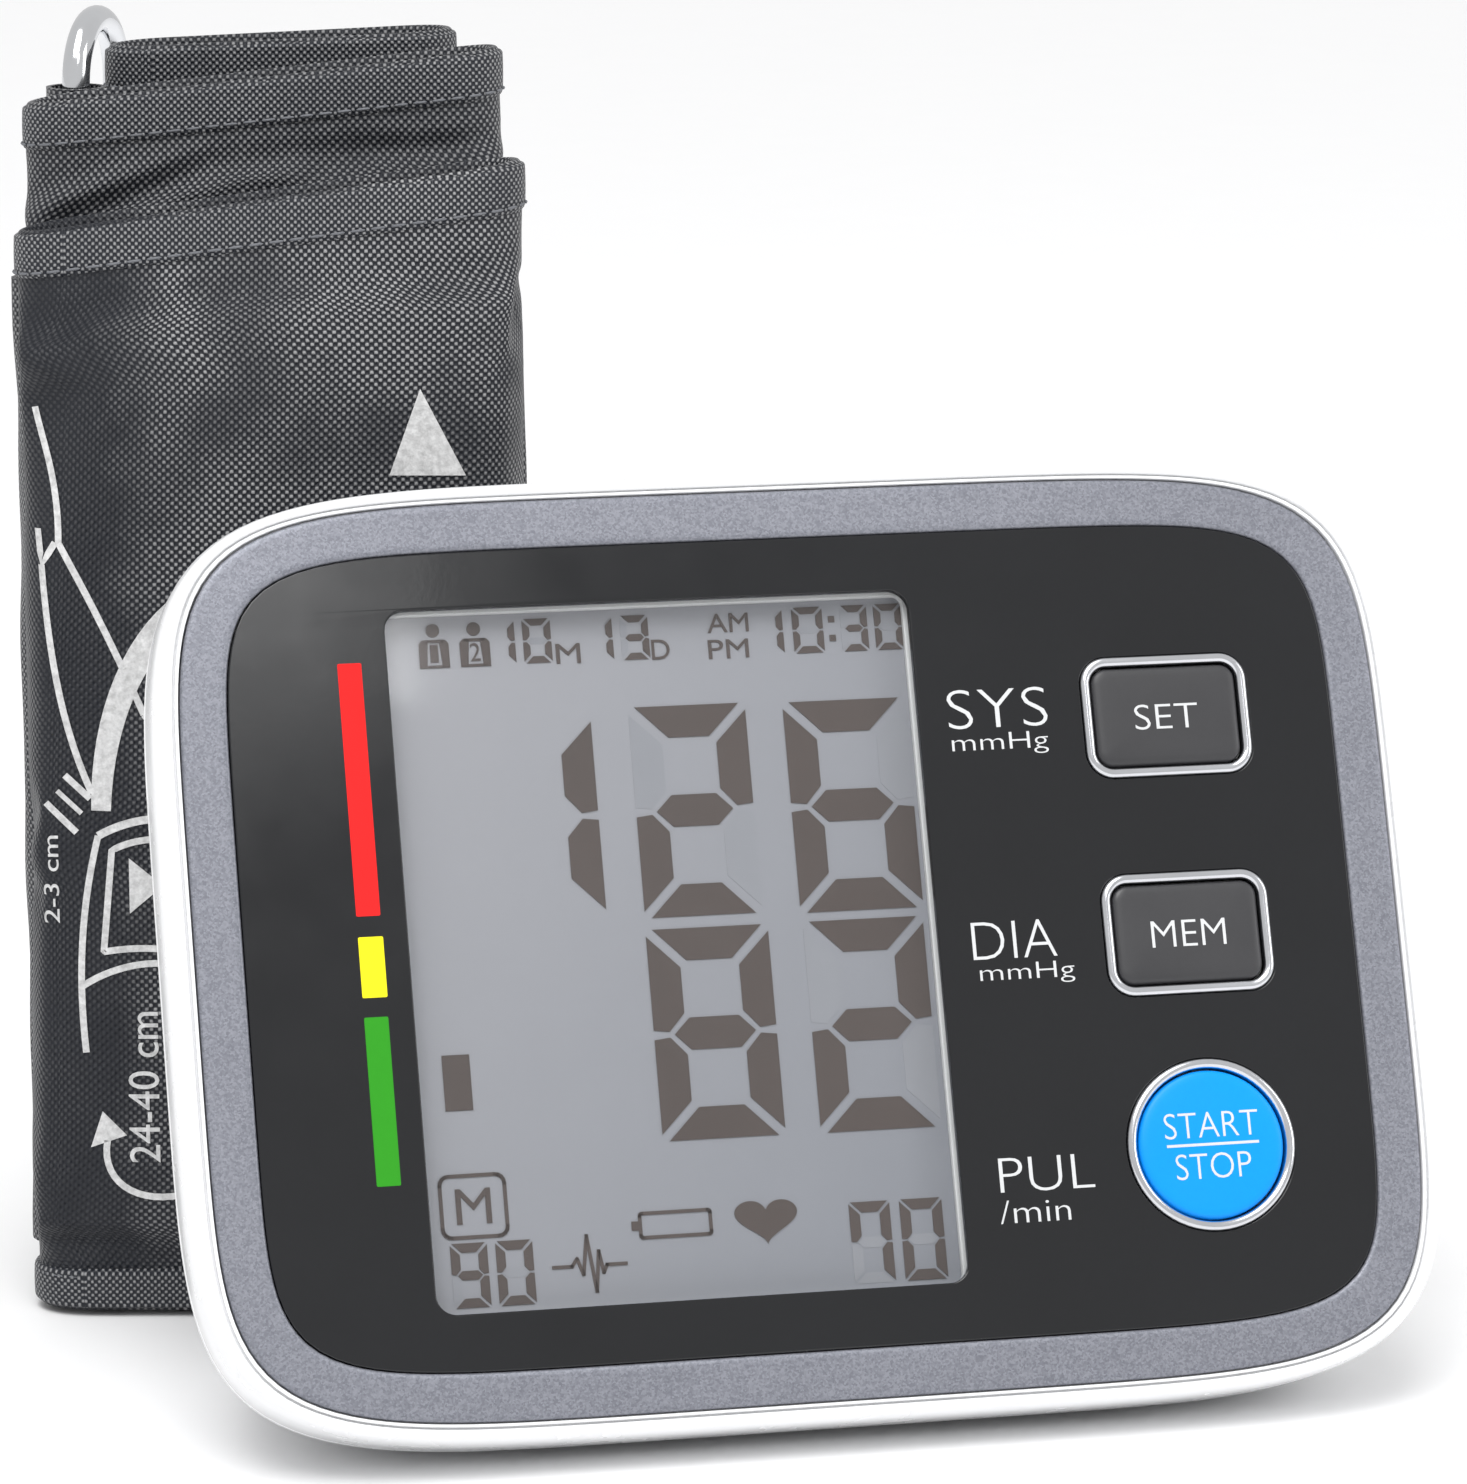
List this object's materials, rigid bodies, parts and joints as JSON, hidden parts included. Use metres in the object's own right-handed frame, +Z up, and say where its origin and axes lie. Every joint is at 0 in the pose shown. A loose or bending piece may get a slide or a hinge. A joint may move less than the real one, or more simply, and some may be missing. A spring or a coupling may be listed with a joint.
{
  "type": "blood pressure monitor with arm cuff",
  "caption": "Desktop upper-arm blood pressure monitor with a display and three keys, its folded fabric cuff with a metal bar standing behind it.",
  "frame": {"origin": "middle of the whole set's box, on the surface it stands on", "axes": "+X to the right of someone facing the display, +Y away from them, +Z up"},
  "size_m": [0.1472, 0.1147, 0.146],
  "materials": {
    "white_case": "gloss",
    "white_inner": "satin",
    "silver_trim": "metallic gloss",
    "black_panel": "gloss",
    "clear_window": "clear",
    "ring_chrome": "polished",
    "key_grey": "satin",
    "key_blue": "gloss",
    "display": "grey display glass",
    "frame_grey": "matt",
    "diffuser": "matt",
    "elastomer": "matt",
    "circuit": "solder mask",
    "chip_black": "matt",
    "steel": "satin",
    "dark_rubber": "matt",
    "tube_clear": "satin",
    "brass_yellow": "satin",
    "cell_wrap": "gloss",
    "cuff_nylon": "woven nylon",
    "binding_tape": "grosgrain tape",
    "bladder_film": "matt",
    "hook_pile": "hook and loop",
    "bar_chrome": "polished",
    "label_film": "satin film"
  },
  "bodies": {
    "monitor": {"front_case": "white_case", "silver_bezel": "silver_trim", "front_panel": "black_panel", "window_lens": "clear_window", "button_rings": "ring_chrome", "lcd_glass": "display", "lcd_frame": "frame_grey", "backlight": "diffuser", "contact_strips": "elastomer", "main_board": "circuit", "chips": "chip_black", "tact_switches": "chip_black", "pressure_sensor": "white_inner", "buzzer": "chip_black", "board_screws": "steel", "pump_motor": "steel", "pump_head": "white_inner", "pump_cradle": "dark_rubber", "exhaust_valve": "brass_yellow", "air_tubes": "tube_clear", "air_socket": "white_inner", "power_jack": "chip_black", "battery_tray": "white_inner", "battery_cells": "cell_wrap", "battery_springs": "steel", "battery_plates": "steel", "rear_left": "white_case", "rear_right": "white_case", "rear_top": "white_case", "rear_base": "white_case", "rear_plate": "white_case", "case_screws": "steel", "rubber_feet": "dark_rubber", "rating_plate": "label_film"},
    "set_key": {"set_button": "key_grey"},
    "mem_key": {"mem_button": "key_grey"},
    "start_key": {"start_button": "key_blue"},
    "door": {"battery_door": "white_case", "door_latch": "white_case"},
    "cuff": {"cuff_front": "cuff_nylon", "cuff_middle": "cuff_nylon", "front_bindings": "binding_tape", "fold_webs": "cuff_nylon", "front_bladder": "bladder_film", "loop_patch": "hook_pile"},
    "flap": {"cuff_back": "cuff_nylon", "back_bindings": "binding_tape", "back_bladder": "bladder_film", "hook_patch": "hook_pile", "bar_sleeve": "cuff_nylon", "hose_port": "dark_rubber"},
    "bar": {"metal_bar": "bar_chrome"}
  },
  "joints": [
    {"name": "set_press", "type": "slide", "parent": "monitor", "child": "set_key", "axis": [0, 0.9205, -0.3907], "range_m": [0, 0.0006], "stiffness_N_per_m": 1500},
    {"name": "mem_press", "type": "slide", "parent": "monitor", "child": "mem_key", "axis": [0, 0.9205, -0.3907], "range_m": [0, 0.0006], "stiffness_N_per_m": 1500},
    {"name": "start_press", "type": "slide", "parent": "monitor", "child": "start_key", "axis": [0, 0.9205, -0.3907], "range_m": [0, 0.0006], "stiffness_N_per_m": 1500},
    {"name": "door_hinge", "type": "hinge", "parent": "monitor", "child": "door", "pos_m": [0.01885, -0.00418, 0.0636], "axis": [1, 0, 0], "range_deg": [0, 85]},
    {"name": "cuff_lift", "type": "slide", "parent": "monitor", "child": "cuff", "axis": [0, 0, 1], "range_m": [0, 0.2]},
    {"name": "cuff_unfold", "type": "hinge", "parent": "cuff", "child": "flap", "pos_m": [-0.0209, 0.03006, 0.07], "axis": [0, 0, -1], "range_deg": [0, 90]},
    {"name": "bar_swing", "type": "hinge", "parent": "flap", "child": "bar", "pos_m": [-0.0633, 0.04302, 0.074], "axis": [0, 0, 1], "range_deg": [0, 95]}
  ]
}
